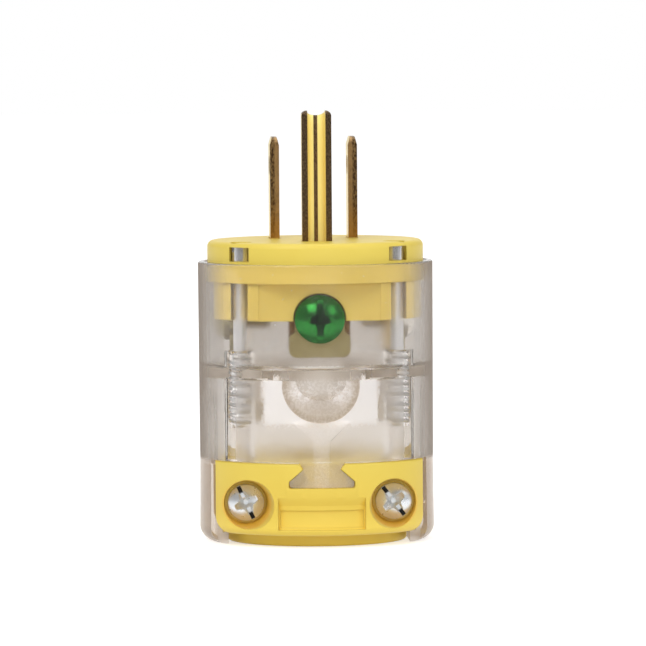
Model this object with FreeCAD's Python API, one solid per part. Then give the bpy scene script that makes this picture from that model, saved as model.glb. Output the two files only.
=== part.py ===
import FreeCAD, Part
import math
import os

# A rewireable plug with two flat blades and a folded U-shaped ground pin, in a clear moulded housing.
# Millimetres. +Z runs along the blades, the ground pin is on the -Y side, and the origin is the centre
# of the cord end, on which the plug stands.

# Housing
BODY_D = 38.1
WAIST_INSET = 0.12
BOTTOM_ROUND = 2.5
RIM_ROUND = 0.35
CLAMP_H = 13.7
GRIP_H = 14.7
WIRING_H = 13.8
SEAT_DEPTH = 3.1
FACE_RISE = 3.4
RIM_WALL = 1.45
SIDE_WALL = 1.85
GRIP_WALL = 1.7
FLOOR_T = 1.6
FLOOR_ROUND = 0.8

# Wire scoops in the housing floor, and the way through it for the cord
SCOOP_R = 6.35
SCOOP_DROP = 8.1
SCOOP_WALL = 1.2
SCOOP_EDGE = 2.4
CORD_WAY_R = 6.6
STEM_TOP_W = 9.0
STEM_W = 2.8
STEM_H = 3.2
STEM_T = 1.2

# Housing legs beside the clamp jaws, and the dovetail tabs that keep the jaws in
LEG_W = 15.2
LEG_WALL = 3.4
FOOT_H = 1.8
TAB_H = 3.9
TAB_NECK_W = 5.8
TAB_NECK_DROP = 1.0
TAB_TOP_W = 7.2
TAB_FOOT_W = 10.3
TAB_FOOT_H = 0.9
TAB_ROUND = 0.35

# Face cover and the carrier that traps the blades under it
FACE_ROUND = 1.0
CARRIER_H = 6.0
BAY_WALL = 1.25
BAY_SIDE_WALL = 1.65

# Blades and ground pin
BLADE_T = 1.5
BLADE_W = 6.35
BLADE_LEN = 16.5
BLADE_GAP = 12.7
BLADE_TIP_H = 1.3
BLADE_TIP_T = 0.8
BLADE_TIP_CORNER = 1.2
BLADE_HOLE_D = 3.2
BLADE_HOLE_Z = 11.9
PIN_W = 4.8
PIN_T = 0.95
PIN_LEN = 21.0
PIN_TIP_ROUND = 0.85
PIN_BACK_DROP = 1.3
PIN_TO_BLADES = 11.9
BLADES_BEHIND = 6.3
BEND_R = 0.6

# Wiring terminals: tab of the blade, clamp plate and binding screw
TAB_PLATE_W = 9.6
TAB_PLATE_H = 11.7
TERMINAL_DROP = 5.7
CLAMP_PLATE_T = 1.0
CLAMP_PLATE_H = 6.2
TERM_HEAD_D = 7.8
TERM_HEAD_H = 2.9
TERM_HEAD_RIM = 0.9
TERM_SHANK_D = 4.0
TERM_SHANK_LEN = 6.6
TERM_WALL_GAP = 0.45

# Long screws that hold the face to the housing
ASSEMBLY_TURN = 36.9
ASSEMBLY_EDGE = 2.2
ASSEMBLY_HEAD_D = 3.2
ASSEMBLY_HEAD_H = 2.7
ASSEMBLY_HEAD_SUNK = 0.35
ASSEMBLY_SHANK_D = 1.9
ASSEMBLY_LEN = 26.6
SEAT_PLAY = 0.15
SHANK_PLAY = 0.25
WINDOW_IN = 1.0
WINDOW_OUT = 1.9
WINDOW_FLARE = 0.9
WINDOW_BRIDGE = 0.75
BOSS_D = 4.4
BOSS_RISE = 2.9
BOSS_LEAD = 0.6

# Cord clamp jaws
JAW_SIDE = 2.35
JAW_INSET = 0.1
JAW_ROUND = 1.4
JAW_CORNER = 2.6
JAW_SPLIT = 0.8
LIP_INSET = 4.4
CORD_D = 12.0
GROOVE_DEPTH = 0.6
GROOVE_H = 2.2
CORD_LANDS = 3
MOUTH_ROUND = 0.9

# Recessed bare panel on the front jaw
PANEL_W = 14.0
PANEL_TOP = 8.15
PANEL_SHELF = 6.85
PANEL_BOTTOM = 2.95
PANEL_DEPTH = 0.7
FIELD_TOP = 6.05
FIELD_BOTTOM = 3.3
FIELD_MARGIN = 0.35
FIELD_DEPTH = 0.25

# Clamp screws and their square nuts
CLAMP_EDGE = 3.75
CLAMP_Z = 6.85
CLAMP_HEAD_D = 5.8
CLAMP_HEAD_H = 2.2
CLAMP_HEAD_RIM = 1.4
CLAMP_SHANK_D = 3.5
CLAMP_SEAT_WALL = 1.3
CLAMP_SEAT_D = 6.7
CLAMP_BORE_D = 8.9
CLAMP_HOLE_PLAY = 0.25
NUT_W = 5.6
NUT_T = 2.4
NUT_WALL = 1.0
NUT_CHAMFER = 0.35
SCREW_PAST_NUT = 1.0
SCREW_POINT = 0.6

# Screw drives
SLOT_W = 0.65
TERM_SLOT_W = 1.0
SLOT_DEPTH = 1.2
CROSS_W = 0.8
CROSS_CORE_W = 1.5
CROSS_SPAN = 3.9
CROSS_DEPTH = 1.6
CROSS_ROUND = 0.25
TERM_SLOT_TURN = 90.0
CLAMP_SLOT_TURNS = {"left": -65.0, "right": -53.0}
ASSEMBLY_SLOT_TURN = 25.0

# Clearances
SLIP = 0.1
JAW_GAP = 0.15
OVER = 1.0
TOUCH = 1e-6

# Worked-out sizes
BODY_R = BODY_D / 2
FLOOR_Z = CLAMP_H + GRIP_H
SEAT_Z = FLOOR_Z + WIRING_H
RIM_Z = SEAT_Z + SEAT_DEPTH
FACE_Z = RIM_Z + FACE_RISE
SEAT_R = BODY_R - RIM_WALL
CAVITY_R = BODY_R - SIDE_WALL
GRIP_R = BODY_R - WAIST_INSET - GRIP_WALL
FACE_R = SEAT_R - SLIP
CARRIER_R = CAVITY_R - 2 * SLIP
CARRIER_Z = SEAT_Z - CARRIER_H
BLADE_X = BLADE_GAP / 2
BLADE_Y = BLADES_BEHIND
PIN_Y = BLADES_BEHIND - PIN_TO_BLADES
PIN_R = PIN_W / 2
TERMINAL_Z = SEAT_Z - TERMINAL_DROP
HEAD_SEAT_R = CAVITY_R - TERM_WALL_GAP - TERM_HEAD_H
TAB_FACE_R = HEAD_SEAT_R - CLAMP_PLATE_T
ASSEMBLY_R = FACE_R - ASSEMBLY_EDGE
ASSEMBLY_X = ASSEMBLY_R * math.cos(math.radians(ASSEMBLY_TURN))
ASSEMBLY_Y = -ASSEMBLY_R * math.sin(math.radians(ASSEMBLY_TURN))
SHANK_WAY_R = ASSEMBLY_SHANK_D / 2 + SHANK_PLAY
HEAD_Z = FACE_Z - ASSEMBLY_HEAD_SUNK - ASSEMBLY_HEAD_H
SCREW_TIP_Z = HEAD_Z - ASSEMBLY_LEN
SCOOP_CENTRE_R = BODY_R - SCOOP_EDGE - SCOOP_R
SCOOP_CENTRE_Z = FLOOR_Z - SCOOP_DROP + SCOOP_R
LEG_X = BODY_R - LEG_WALL
LEG_Y = LEG_W / 2
LIP_R = BODY_R - LIP_INSET
JAW_R = BODY_R - JAW_INSET
JAW_TOP = CLAMP_H - JAW_GAP
JAW_FLOOR = FOOT_H + JAW_GAP
CLAMP_X = LEG_X - CLAMP_EDGE
CLAMP_SEAT_Y = LEG_Y + JAW_GAP + CLAMP_SEAT_WALL
NUT_Y = LEG_Y + NUT_WALL
NUT_BACK_Y = NUT_Y + NUT_T
SIDES = {"left": -1, "right": 1}

UP = FreeCAD.Vector(0, 0, 1)
ORIGIN = FreeCAD.Vector(0, 0, 0)
PLANES = {
    "xy": (FreeCAD.Vector(1, 0, 0), FreeCAD.Vector(0, 1, 0), FreeCAD.Vector(0, 0, 1)),
    "xz": (FreeCAD.Vector(1, 0, 0), FreeCAD.Vector(0, 0, 1), FreeCAD.Vector(0, 1, 0)),
    "yz": (FreeCAD.Vector(0, 1, 0), FreeCAD.Vector(0, 0, 1), FreeCAD.Vector(1, 0, 0)),
}


def outline(corners, plane):
    """A closed face through (a, b, round) corners of one plane, each corner with its own round."""
    along, across, _ = PLANES[plane]
    points = [along * a + across * b for a, b, _ in corners]
    ends = []
    for i, (_, _, radius) in enumerate(corners):
        here = points[i]
        if radius == 0:
            ends.append((here, None, here))
            continue
        back = (points[i - 1] - here).normalize()
        ahead = (points[(i + 1) % len(points)] - here).normalize()
        half = back.getAngle(ahead) / 2
        reach = radius / math.tan(half)
        bisector = (back + ahead).normalize()
        middle = here + bisector * (radius / math.sin(half) - radius)
        ends.append((here + back * reach, middle, here + ahead * reach))
    edges = []
    for i, (start, middle, stop) in enumerate(ends):
        if middle is not None:
            edges.append(Part.Arc(start, middle, stop).toShape())
        following = ends[(i + 1) % len(ends)][0]
        if stop.distanceToPoint(following) > TOUCH:
            edges.append(Part.LineSegment(stop, following).toShape())
    return Part.Face(Part.Wire(edges))


def turned(corners):
    """A solid of revolution about Z from a profile of (radius, height, round) corners."""
    return outline(corners, "xz").revolve(ORIGIN, UP, 360)


def pushed(corners, plane, start, stop):
    """A prism of a plane outline, from start to stop along the plane's normal."""
    normal = PLANES[plane][2]
    face = outline(corners, plane)
    face.translate(normal * start)
    return face.extrude(normal * (stop - start))


def box(x0, x1, y0, y1, z0, z1):
    return Part.makeBox(x1 - x0, y1 - y0, z1 - z0, FreeCAD.Vector(x0, y0, z0))


def post(radius, z0, z1, x=0.0, y=0.0):
    return Part.makeCylinder(radius, z1 - z0, FreeCAD.Vector(x, y, z0), UP)


def bar_y(radius, x, z, y0, y1):
    return Part.makeCylinder(radius, y1 - y0, FreeCAD.Vector(x, y0, z), FreeCAD.Vector(0, 1, 0))


def turn(shape, degrees, axis=UP):
    placed = shape.copy()
    placed.rotate(ORIGIN, axis, degrees)
    return placed


def join(first, *others):
    return first.fuse(list(others)).removeSplitter()


def facing(shape, side):
    """Turns a piece made on the front, -Y, to the ground, line or neutral side of the plug."""
    return turn(shape, {"ground": 0, "neutral": 90, "line": -90}[side])


def scoop(extra, top):
    """The rounded pocket under one terminal, at the front, with its wall grown by extra."""
    radius = SCOOP_R + extra
    ball = Part.makeSphere(radius, FreeCAD.Vector(0, -SCOOP_CENTRE_R, SCOOP_CENTRE_Z))
    neck = post(radius, SCOOP_CENTRE_Z, top, 0, -SCOOP_CENTRE_R)
    return ball.fuse(neck)


def dovetail(grow, y0, y1):
    """The dovetail tab at the front, seen along Y, grown evenly for the jaw's pocket."""
    top = CLAMP_H + OVER
    neck_z = CLAMP_H - TAB_NECK_DROP
    foot_z = CLAMP_H - TAB_H - grow
    shoulder_z = CLAMP_H - TAB_H + TAB_FOOT_H
    neck = TAB_NECK_W / 2 + grow
    foot = TAB_FOOT_W / 2 + grow
    lead = TAB_TOP_W / 2 + grow
    right = [(foot, foot_z, TAB_ROUND), (foot, shoulder_z, TAB_ROUND), (neck, neck_z, 0),
             (lead, CLAMP_H, 0), (lead, top, 0)]
    left = [(-x, z, r) for x, z, r in reversed(right)]
    return pushed(right + left, "xz", y0, y1)


def leg(side):
    """The space of one housing leg: a flat inner side, and a foot that reaches in under the jaws."""
    wall = box(LEG_X, BODY_R + OVER, -LEG_Y, LEG_Y, -OVER, CLAMP_H)
    foot = box(LIP_R, BODY_R + OVER, -LEG_Y, LEG_Y, -OVER, FOOT_H)
    whole = wall.fuse(foot)
    return whole if side > 0 else turn(whole, 180)


def boss(side):
    """The pillar that takes one assembly screw, from the clamp end up through the floor."""
    x = side * ASSEMBLY_X
    pillar = post(BOSS_D / 2, CLAMP_H, FLOOR_Z + BOSS_RISE, x, ASSEMBLY_Y)
    return pillar.common(post(BODY_R - SIDE_WALL / 2, 0, RIM_Z))


def boss_hole(side):
    x = side * ASSEMBLY_X
    radius = ASSEMBLY_SHANK_D / 2 + SLIP / 2
    hole = post(radius, SCREW_TIP_Z - SLIP, RIM_Z, x, ASSEMBLY_Y)
    lead = Part.makeCone(radius, radius + BOSS_LEAD, BOSS_LEAD,
                         FreeCAD.Vector(x, ASSEMBLY_Y, FLOOR_Z + BOSS_RISE - BOSS_LEAD), UP)
    return hole.fuse(lead)


def stem():
    """The rib that carries the front scoop down the inside of the wall to the dovetail tab."""
    top = FLOOR_Z - SCOOP_DROP
    low = top - STEM_H
    corners = [(STEM_W / 2, CLAMP_H, 0), (STEM_W / 2, low, 0), (STEM_TOP_W / 2, top, 0),
               (-STEM_TOP_W / 2, top, 0), (-STEM_W / 2, low, 0), (-STEM_W / 2, CLAMP_H, 0)]
    ring = post(GRIP_R, CLAMP_H, FLOOR_Z).cut(post(GRIP_R - STEM_T, CLAMP_H, FLOOR_Z))
    return pushed(corners, "xz", -BODY_R, 0).common(ring)


def housing_shell():
    body = turned([(0, 0, 0), (BODY_R, 0, BOTTOM_ROUND), (BODY_R - WAIST_INSET, CLAMP_H, 0),
                   (BODY_R, RIM_Z, RIM_ROUND), (0, RIM_Z, 0)])
    wiring = turned([(0, FLOOR_Z, 0), (CAVITY_R, FLOOR_Z, FLOOR_ROUND), (CAVITY_R, SEAT_Z, 0),
                     (SEAT_R, SEAT_Z, 0), (SEAT_R, RIM_Z + OVER, 0), (0, RIM_Z + OVER, 0)])
    underside = FLOOR_Z - FLOOR_T
    sides = ("ground", "neutral", "line")
    kept_below = [facing(scoop(SCOOP_WALL, underside), side) for side in sides]
    kept_below += [boss(side) for side in SIDES.values()]
    kept_below.append(stem())
    hollow = post(GRIP_R, CLAMP_H - OVER, underside).cut(kept_below)
    tab = dovetail(0, -BODY_R - OVER, 0).cut(post(GRIP_R, 0, RIM_Z))
    legs = [leg(side) for side in SIDES.values()]
    clamp_space = post(BODY_R + OVER, -OVER, CLAMP_H).cut(legs + [tab, turn(tab, 180)])
    wiring = wiring.cut([boss(side) for side in SIDES.values()])
    bores = [facing(scoop(0, FLOOR_Z + OVER), side) for side in sides]
    bores.append(post(CORD_WAY_R, CLAMP_H - OVER, FLOOR_Z + OVER))
    bores += [boss_hole(side) for side in SIDES.values()]
    return body.cut([wiring, hollow, clamp_space] + bores).removeSplitter()


def face_cover():
    cover = turned([(0, SEAT_Z, 0), (FACE_R, SEAT_Z, 0), (FACE_R, FACE_Z, FACE_ROUND), (0, FACE_Z, 0)])
    cuts = []
    for side in SIDES.values():
        cuts.append(blade_slot(side, SLIP))
        x = side * ASSEMBLY_X
        cuts.append(post(ASSEMBLY_HEAD_D / 2 + SEAT_PLAY, HEAD_Z, FACE_Z + OVER, x, ASSEMBLY_Y))
        cuts.append(post(ASSEMBLY_SHANK_D / 2 + SLIP, SEAT_Z - OVER, FACE_Z, x, ASSEMBLY_Y))
        cuts.append(head_window(side))
    cuts.append(pin_hole())
    return cover.cut(cuts).removeSplitter()


def head_window(side):
    """The window in the side of the face that shows a screw head, wider at its outer side and its mouth."""
    inner = ASSEMBLY_X - WINDOW_IN
    outer = ASSEMBLY_X + WINDOW_OUT
    corners = [(side * inner, ASSEMBLY_Y, 0), (side * outer, ASSEMBLY_Y, 0),
               (side * (outer + WINDOW_FLARE), -BODY_R, 0), (side * inner, -BODY_R, 0)]
    return pushed(corners, "xy", HEAD_Z, FACE_Z - WINDOW_BRIDGE)


def blade_slot(side, play):
    x = side * BLADE_X
    half_t = BLADE_T / 2 + play
    half_w = BLADE_W / 2 + play
    return box(x - half_t, x + half_t, BLADE_Y - half_w, BLADE_Y + half_w, SEAT_Z - OVER, FACE_Z + OVER)


def pin_hole():
    """The hole in the face for the folded pin: round at the back, square at its open front."""
    half = PIN_R + SLIP
    corners = [(half, PIN_Y - half, 0), (half, PIN_Y + half, PIN_R), (-half, PIN_Y + half, PIN_R),
               (-half, PIN_Y - half, 0)]
    return pushed(corners, "xy", SEAT_Z - OVER, FACE_Z + OVER)


def flange_reach():
    """The flange of a side blade in plan: from the blade out to its terminal tab."""
    return {"x0": BLADE_X - BLADE_T / 2, "x1": TAB_FACE_R, "y0": -TAB_PLATE_W / 2,
            "y1": BLADE_Y + BLADE_W / 2}


def bay_reach(side):
    """Half the width of a wiring bay, which stops short of the ways for the assembly screws."""
    screw_offset = ASSEMBLY_X if side == "ground" else -ASSEMBLY_Y
    return screw_offset - SHANK_WAY_R - BAY_SIDE_WALL


def blade_carrier():
    block = turned([(0, CARRIER_Z, 0), (CARRIER_R, CARRIER_Z, RIM_ROUND), (CARRIER_R, SEAT_Z, 0),
                    (0, SEAT_Z, 0)])
    low = CARRIER_Z - OVER
    high = SEAT_Z + OVER
    half = TAB_PLATE_W / 2 + SLIP
    plan = flange_reach()
    cuts = []
    for side, strip in (("ground", PIN_T), ("neutral", BLADE_T), ("line", BLADE_T)):
        inner = -(TAB_FACE_R - strip - SLIP)
        wall = -(TAB_FACE_R + BAY_WALL)
        reach = bay_reach(side)
        bay = box(-reach, reach, -BODY_R, wall, low, high)
        tab_slot = box(-half, half, -(TAB_FACE_R + SLIP), inner, low, high)
        notch = clamp_plate_shape(2 * SLIP, -BODY_R, inner)
        way = TERM_SHANK_D / 2 + 2 * SLIP
        shank = bar_y(way, 0, TERMINAL_Z, inner - OVER, 0)
        under = box(-way, way, inner - OVER, 0, low, TERMINAL_Z)
        cuts += [facing(cut, side) for cut in (bay, tab_slot, notch, shank.fuse(under))]
    for side in SIDES.values():
        x = side * ASSEMBLY_X
        cuts.append(post(SHANK_WAY_R, low, high, x, ASSEMBLY_Y))
        cuts.append(box(x - SHANK_WAY_R, x + SHANK_WAY_R, -BODY_R, ASSEMBLY_Y, low, high))
    shelf = box(plan["x0"] - SLIP, plan["x1"] + SLIP, plan["y0"] - SLIP, plan["y1"] + SLIP,
                SEAT_Z - BLADE_T - SLIP / 2, high)
    cuts += [shelf, shelf.mirror(ORIGIN, FreeCAD.Vector(1, 0, 0))]
    cuts.append(box(-half, half, -(TAB_FACE_R + SLIP), PIN_Y + PIN_R + SLIP, SEAT_Z - PIN_T - SLIP / 2, high))
    return block.cut(cuts).removeSplitter()


def side_blade():
    """The neutral blade: one strip that rises as the blade, turns out as a flange and down as a tab."""
    plan = flange_reach()
    x0 = plan["x0"]
    x1 = plan["x1"]
    tip = FACE_Z + BLADE_LEN
    tab_end = SEAT_Z - TAB_PLATE_H
    low = SEAT_Z - BLADE_T
    inset = (BLADE_T - BLADE_TIP_T) / 2
    section = [(x0, low, 0), (x1 - BLADE_T, low, 0), (x1 - BLADE_T, tab_end, 0), (x1, tab_end, 0),
               (x1, SEAT_Z, BEND_R), (x0 + BLADE_T, SEAT_Z, 0), (x0 + BLADE_T, tip - BLADE_TIP_H, 0),
               (x0 + BLADE_T - inset, tip, 0), (x0 + inset, tip, 0), (x0, tip - BLADE_TIP_H, 0)]
    strip = pushed(section, "xz", plan["y0"], plan["y1"])
    y0 = BLADE_Y - BLADE_W / 2
    y1 = BLADE_Y + BLADE_W / 2
    corner = BLADE_TIP_CORNER
    blade = pushed([(y0, SEAT_Z, 0), (y1, SEAT_Z, 0), (y1, tip, corner), (y0, tip, corner)], "yz", x0, x1)
    flange = box(x0, x1, plan["y0"], plan["y1"], low, SEAT_Z)
    half = TAB_PLATE_W / 2
    tab = pushed([(-half, tab_end, corner), (half, tab_end, corner), (half, SEAT_Z, 0), (-half, SEAT_Z, 0)],
                 "yz", x0, x1)
    formed = strip.common(blade.fuse([flange, tab]))
    hole = Part.makeCylinder(BLADE_HOLE_D / 2, BLADE_T + 2 * OVER,
                             FreeCAD.Vector(x0 - OVER, BLADE_Y, FACE_Z + BLADE_HOLE_Z),
                             FreeCAD.Vector(1, 0, 0))
    return formed.cut([hole, facing(terminal_bore(SLIP / 2), "neutral")]).removeSplitter()


def terminal_bore(play):
    return bar_y(TERM_SHANK_D / 2 + play, 0, TERMINAL_Z, -BODY_R, 0)


def ground_pin():
    """A strip folded to a U along its length, open to the front, with a flange and a terminal tab."""
    tip = FACE_Z + PIN_LEN
    root = SEAT_Z - PIN_T
    inner = PIN_R - PIN_T
    front = PIN_Y - PIN_R
    back = PIN_Y + PIN_R
    folded = pushed([(PIN_R, front, 0), (PIN_R, back, PIN_R - SLIP), (-PIN_R, back, PIN_R - SLIP),
                     (-PIN_R, front, 0)], "xy", root, tip)
    groove = pushed([(inner, front - OVER, 0), (inner, back - PIN_T, inner - SLIP),
                     (-inner, back - PIN_T, inner - SLIP), (-inner, front - OVER, 0)],
                    "xy", SEAT_Z, tip + OVER)
    side_view = pushed([(front, root, 0), (back, root, 0), (back, tip - PIN_BACK_DROP, PIN_TIP_ROUND),
                        (PIN_Y, tip, PIN_TIP_ROUND), (front, tip, PIN_TIP_ROUND)], "yz", -PIN_R, PIN_R)
    front_view = pushed([(-PIN_R, root, 0), (PIN_R, root, 0), (PIN_R, tip, PIN_TIP_ROUND),
                         (-PIN_R, tip, PIN_TIP_ROUND)], "xz", front, back)
    prong = folded.cut(groove).common(side_view).common(front_view)
    half = TAB_PLATE_W / 2
    corner = BLADE_TIP_CORNER
    y = -TAB_FACE_R
    tab_end = SEAT_Z - TAB_PLATE_H
    bent = pushed([(back, root, 0), (back, SEAT_Z, 0), (y, SEAT_Z, BEND_R), (y, tab_end, 0),
                   (y + PIN_T, tab_end, 0), (y + PIN_T, root, 0)], "yz", -half, half)
    tab = pushed([(-half, tab_end, corner), (half, tab_end, corner), (half, SEAT_Z, 0), (-half, SEAT_Z, 0)],
                 "xz", y, back)
    return join(prong, bent.common(tab).cut(terminal_bore(SLIP / 2)))


def clamp_plate_shape(grow, y0, y1):
    """The outline of a clamp plate: a round top about its screw, over a wider square end."""
    half = TAB_PLATE_W / 2 + grow
    radius = TERM_HEAD_D / 2 + grow
    low = TERMINAL_Z - CLAMP_PLATE_H - grow
    waist = TERMINAL_Z - TERM_SHANK_D / 2
    top = TERMINAL_Z + radius
    corner = BLADE_TIP_CORNER
    right = [(half, low, corner), (half, waist - half + radius, 0), (radius, waist, 0),
             (radius, top, radius - SLIP)]
    left = [(-x, z, r) for x, z, r in reversed(right)]
    return pushed(right + left, "xz", y0, y1)


def clamp_plate():
    plate = clamp_plate_shape(0, -HEAD_SEAT_R, -TAB_FACE_R)
    return plate.cut(terminal_bore(SLIP))


def cross_outline():
    """The four-armed outline of a cross recess, each arm wider towards the middle."""
    tip = CROSS_SPAN / 2
    arm = CROSS_W / 2
    core = CROSS_CORE_W / 2
    corners = []
    for x, y in ((1, 0), (0, 1), (-1, 0), (0, -1)):
        for ahead, aside in ((tip, -arm), (tip, arm), (core, core)):
            corners.append((ahead * x - aside * y, ahead * y + aside * x, CROSS_ROUND))
    return corners


def drive(head_top, span, slot_w, slot_turn):
    """A combination drive: a straight slot across the head and a tapered cross in its middle."""
    slot = box(-span, span, -slot_w / 2, slot_w / 2, head_top - SLOT_DEPTH, head_top + OVER)
    low = head_top - CROSS_DEPTH
    taper = Part.makeCone(CROSS_W / 2, (CROSS_SPAN + CROSS_W) / 2, CROSS_DEPTH, FreeCAD.Vector(0, 0, low), UP)
    cross = pushed(cross_outline(), "xy", low, head_top).common(taper)
    return turn(slot.fuse(cross), slot_turn)


def domed_screw(head_d, head_h, rim_h, shank_d, length, slot_w, slot_turn):
    """A screw along Z with a domed head: the head sits on z = 0 and the shank points down."""
    radius = head_d / 2
    crown = head_h - rim_h
    ball_r = (radius ** 2 + crown ** 2) / (2 * crown)
    dome = Part.makeSphere(ball_r, FreeCAD.Vector(0, 0, head_h - ball_r))
    head = post(radius, 0, head_h).common(dome)
    shank = turned([(0, -length, 0), (shank_d / 2, -length, SCREW_POINT), (shank_d / 2, 0, 0), (0, 0, 0)])
    return join(head.cut(drive(head_h, head_d, slot_w, slot_turn)), shank)


def to_front(screw, x, y, z):
    """Lays a screw down so that its head faces the front, with its seat at the given point."""
    laid = turn(screw, 90, FreeCAD.Vector(1, 0, 0))
    laid.translate(FreeCAD.Vector(x, y, z))
    return laid


def terminal_screw():
    screw = domed_screw(TERM_HEAD_D, TERM_HEAD_H, TERM_HEAD_RIM, TERM_SHANK_D, TERM_SHANK_LEN,
                        TERM_SLOT_W, TERM_SLOT_TURN)
    return to_front(screw, 0, -HEAD_SEAT_R, TERMINAL_Z)


def assembly_screw(side):
    radius = ASSEMBLY_HEAD_D / 2
    head = turned([(0, 0, 0), (radius, 0, 0), (radius, ASSEMBLY_HEAD_H, RIM_ROUND), (0, ASSEMBLY_HEAD_H, 0)])
    slot = box(-radius, radius, -SLOT_W / 2, SLOT_W / 2, ASSEMBLY_HEAD_H - SLOT_DEPTH, ASSEMBLY_HEAD_H + OVER)
    shank_r = ASSEMBLY_SHANK_D / 2
    shank = turned([(0, -ASSEMBLY_LEN, 0), (shank_r, -ASSEMBLY_LEN, SCREW_POINT), (shank_r, 0, 0), (0, 0, 0)])
    screw = join(head.cut(turn(slot, ASSEMBLY_SLOT_TURN)), shank)
    screw.translate(FreeCAD.Vector(side * ASSEMBLY_X, ASSEMBLY_Y, HEAD_Z))
    return screw


def cord_bore():
    """The split round grip for the cord: plain lands with grooves between them, and a rounded mouth."""
    bore = post(CORD_D / 2, -OVER, CLAMP_H + OVER)
    pitch = JAW_TOP / CORD_LANDS
    grooves = []
    for i in range(1, CORD_LANDS):
        middle = i * pitch
        grooves.append(post(CORD_D / 2 + GROOVE_DEPTH, middle - GROOVE_H / 2, middle + GROOVE_H / 2))
    flare = CORD_D / 2 + MOUTH_ROUND
    mouth = Part.makeCone(flare, CORD_D / 2, MOUTH_ROUND, ORIGIN, UP)
    return bore.fuse(grooves + [mouth])


def jaw():
    """One half of the cord clamp, as the front half: body, foot lip and dovetail pocket."""
    body = turned([(0, JAW_FLOOR, 0), (JAW_R, JAW_FLOOR, JAW_ROUND), (JAW_R, JAW_TOP, RIM_ROUND),
                   (0, JAW_TOP, 0)])
    half = BODY_R - JAW_SIDE
    front = pushed([(-half, JAW_FLOOR, JAW_CORNER), (half, JAW_FLOOR, JAW_CORNER), (half, JAW_TOP, 0),
                    (-half, JAW_TOP, 0)], "xz", -BODY_R, -LEG_Y - JAW_GAP)
    inner = LEG_X - JAW_GAP
    core = box(-inner, inner, -LEG_Y - JAW_GAP, -JAW_SPLIT / 2, JAW_FLOOR, JAW_TOP)
    lip_r = LIP_R - JAW_GAP
    lip = turned([(0, 0, 0), (lip_r, 0, RIM_ROUND), (lip_r, JAW_FLOOR, 0), (0, JAW_FLOOR, 0)])
    lip = lip.common(box(-lip_r, lip_r, -lip_r, -JAW_SPLIT / 2, 0, JAW_FLOOR))
    whole = join(body.common(front.fuse(core)), lip)
    pocket = dovetail(JAW_GAP, -BODY_R - OVER, 0).cut(post(GRIP_R - JAW_GAP, 0, RIM_Z))
    return whole.cut([pocket, cord_bore()])


def front_jaw():
    half = PANEL_W / 2
    panel_r = JAW_R - PANEL_DEPTH
    slope = PANEL_TOP - PANEL_SHELF
    panel = turned([(panel_r, PANEL_SHELF, 0), (panel_r, PANEL_BOTTOM, 0), (JAW_R, PANEL_BOTTOM, 0),
                    (JAW_R + PANEL_DEPTH, PANEL_TOP + slope, 0)])
    field_r = panel_r - FIELD_DEPTH
    field = turned([(field_r, FIELD_BOTTOM, 0), (JAW_R, FIELD_BOTTOM, 0), (JAW_R, FIELD_TOP, 0),
                    (field_r, FIELD_TOP, 0)])
    inside = half - FIELD_MARGIN
    cuts = [panel.common(box(-half, half, -BODY_R - OVER, 0, 0, CLAMP_H)),
            field.common(box(-inside, inside, -BODY_R - OVER, 0, 0, CLAMP_H))]
    hole_r = CLAMP_SHANK_D / 2 + CLAMP_HOLE_PLAY
    for side in SIDES.values():
        x = side * CLAMP_X
        cuts.append(Part.makeCone(CLAMP_SEAT_D / 2, CLAMP_BORE_D / 2, BODY_R - CLAMP_SEAT_Y,
                                  FreeCAD.Vector(x, -CLAMP_SEAT_Y, CLAMP_Z), FreeCAD.Vector(0, -1, 0)))
        cuts.append(bar_y(hole_r, x, CLAMP_Z, -BODY_R, 0))
    return jaw().cut(cuts).removeSplitter()


def rear_jaw():
    """The rear half holds the two square nuts in pockets that open to the back."""
    cuts = []
    half = NUT_W / 2 + SLIP
    hole_r = CLAMP_SHANK_D / 2 + CLAMP_HOLE_PLAY
    for side in SIDES.values():
        x = side * CLAMP_X
        cuts.append(box(x - half, x + half, NUT_Y, BODY_R, CLAMP_Z - half, CLAMP_Z + half))
        cuts.append(bar_y(hole_r, x, CLAMP_Z, 0, BODY_R))
    return turn(jaw(), 180).cut(cuts).removeSplitter()


def clamp_screw(side):
    length = NUT_BACK_Y + CLAMP_SEAT_Y + SCREW_PAST_NUT
    screw = domed_screw(CLAMP_HEAD_D, CLAMP_HEAD_H, CLAMP_HEAD_RIM, CLAMP_SHANK_D, length,
                        SLOT_W, CLAMP_SLOT_TURNS[side])
    return to_front(screw, SIDES[side] * CLAMP_X, -CLAMP_SEAT_Y, CLAMP_Z)


def clamp_nut(side):
    half = NUT_W / 2
    x = side * CLAMP_X
    blank = box(x - half, x + half, NUT_Y, NUT_BACK_Y, CLAMP_Z - half, CLAMP_Z + half)
    crown_r = half * math.sqrt(2) - NUT_CHAMFER
    crown = Part.makeCone(crown_r + NUT_T, crown_r, NUT_T, FreeCAD.Vector(x, NUT_Y, CLAMP_Z),
                          FreeCAD.Vector(0, 1, 0))
    return blank.common(crown).cut(bar_y(CLAMP_SHANK_D / 2 + SLIP / 2, x, CLAMP_Z, 0, BODY_R))


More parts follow.
